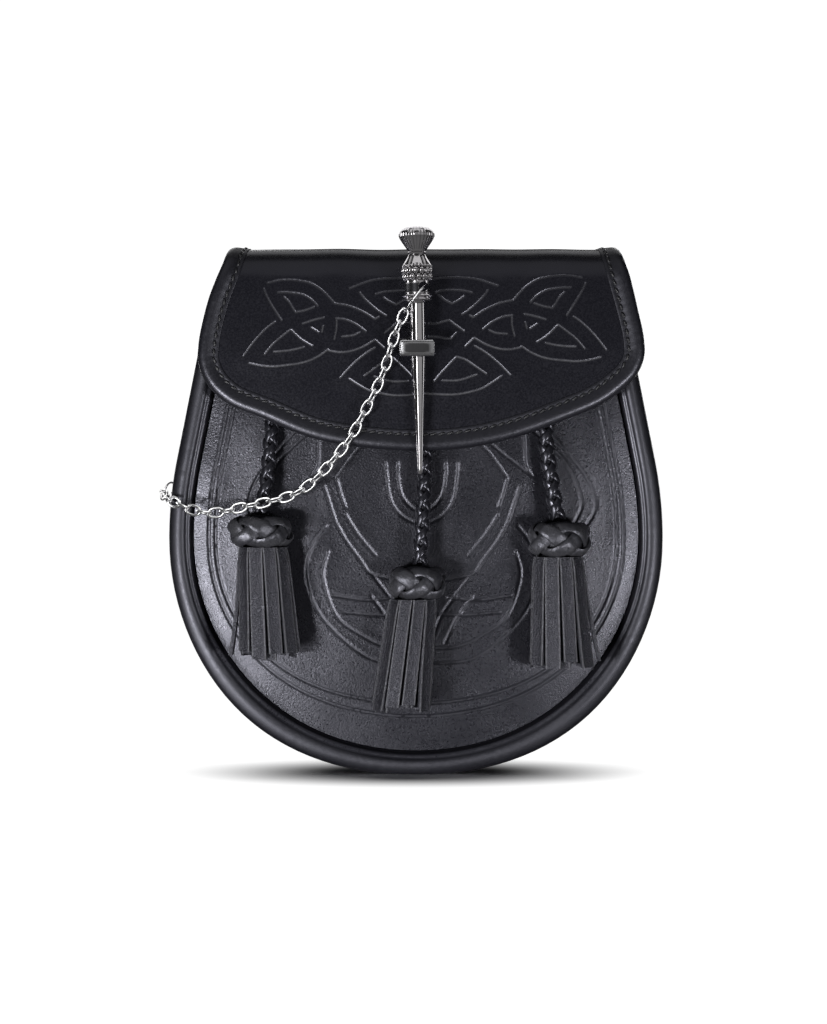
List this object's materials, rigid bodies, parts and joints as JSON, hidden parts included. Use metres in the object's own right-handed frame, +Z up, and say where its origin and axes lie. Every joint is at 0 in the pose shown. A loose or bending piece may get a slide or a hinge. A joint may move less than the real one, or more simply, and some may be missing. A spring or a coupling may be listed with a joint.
{
  "type": "sporran pouch",
  "caption": "Horseshoe-shaped black leather pouch worn at the waist, with a folded-over flap, a chained closing pin through a staple, and leather tassels.",
  "frame": {"origin": "middle of the strap line, midway between the two loops on the back, inside their passage", "axes": "+X to the viewer's right as seen from the front, -Y to the front, +Z up"},
  "size_m": [0.1941, 0.068, 0.2115],
  "materials": {
    "black_leather": "smooth semi-gloss black hide",
    "soft_leather": "soft black hide with a low sheen",
    "chrome": "polished plated metal"
  },
  "bodies": {
    "root": {"back_panel": "black_leather", "front_panel": "black_leather", "flap": "black_leather", "rim_roll": "soft_leather", "gusset": "soft_leather", "flap_binding": "soft_leather", "staple": "chrome", "closing_pin": "chrome", "pin_ring": "chrome", "side_eye": "chrome", "side_ring": "chrome", "chain_link_01": "chrome", "chain_link_02": "chrome", "chain_link_03": "chrome", "chain_link_04": "chrome", "chain_link_05": "chrome", "chain_link_06": "chrome", "chain_link_07": "chrome", "chain_link_08": "chrome", "chain_link_09": "chrome", "chain_link_10": "chrome", "chain_link_11": "chrome", "chain_link_12": "chrome", "chain_link_13": "chrome", "chain_link_14": "chrome", "chain_link_15": "chrome", "chain_link_16": "chrome", "chain_link_17": "chrome", "chain_link_18": "chrome", "chain_link_19": "chrome", "chain_link_20": "chrome", "chain_link_21": "chrome", "chain_link_22": "chrome", "chain_link_23": "chrome", "chain_link_24": "chrome", "chain_link_25": "chrome", "chain_link_26": "chrome", "chain_link_27": "chrome", "chain_link_28": "chrome", "chain_link_29": "chrome", "chain_link_30": "chrome", "chain_link_31": "chrome", "chain_link_32": "chrome", "tassel_cord_left": "soft_leather", "tassel_knot_left": "soft_leather", "tassel_skirt_left": "black_leather", "tassel_cord_centre": "soft_leather", "tassel_knot_centre": "soft_leather", "tassel_skirt_centre": "black_leather", "tassel_cord_right": "soft_leather", "tassel_knot_right": "soft_leather", "tassel_skirt_right": "black_leather", "strap_loop_left": "black_leather", "strap_loop_right": "black_leather"}
  },
  "joints": []
}
